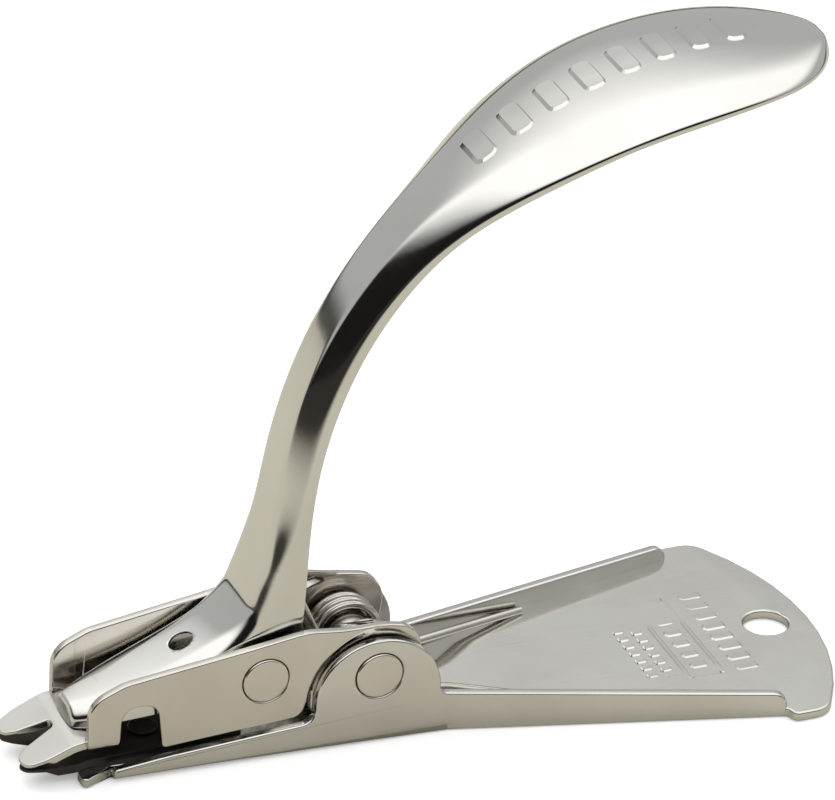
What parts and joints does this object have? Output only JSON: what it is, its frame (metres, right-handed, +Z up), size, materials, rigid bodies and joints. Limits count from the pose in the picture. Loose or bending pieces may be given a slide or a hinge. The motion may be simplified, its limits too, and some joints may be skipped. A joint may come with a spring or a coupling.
{
  "type": "staple remover",
  "caption": "Desk staple remover of nickel-plated pressed steel: a long foot plate, forked lifting jaws and a curved spring-loaded squeeze handle",
  "frame": {"origin": "on the resting plane under the base, straight below the hinge axis", "axes": "+X towards the rear of the foot plate, -X towards the forked jaws, +Y along the hinge axis across the tool, +Z up"},
  "size_m": [0.1716, 0.067, 0.1364],
  "materials": {
    "nickel_base": "bright nickel plate over pressed sheet steel",
    "nickel_jaw": "bright nickel plate, lightly satin on the side plates",
    "nickel_handle": "mirror-polished nickel plate",
    "nickel_rivet": "nickel-plated flush rivet ends",
    "black_steel": "hardened steel, black oxide",
    "spring_steel": "drawn spring wire, plated"
  },
  "bodies": {
    "base": {"base_frame": "nickel_base", "lower_tongue": "black_steel", "tongue_rivets": "black_steel", "pivot_rivet": "nickel_rivet", "return_spring": "spring_steel"},
    "upper_jaw": {"jaw_channel": "nickel_jaw", "handle_lever": "nickel_handle", "front_rivet": "nickel_rivet"}
  },
  "joints": [
    {"name": "jaw_hinge", "type": "hinge", "parent": "base", "child": "upper_jaw", "pos_m": [0, 0, 0.0151], "axis": [0, 1, 0], "range_deg": [0, 35], "stiffness_Nm_per_rad": 0.6, "springref_deg": -28.65, "deforming": ["return_spring"]}
  ]
}
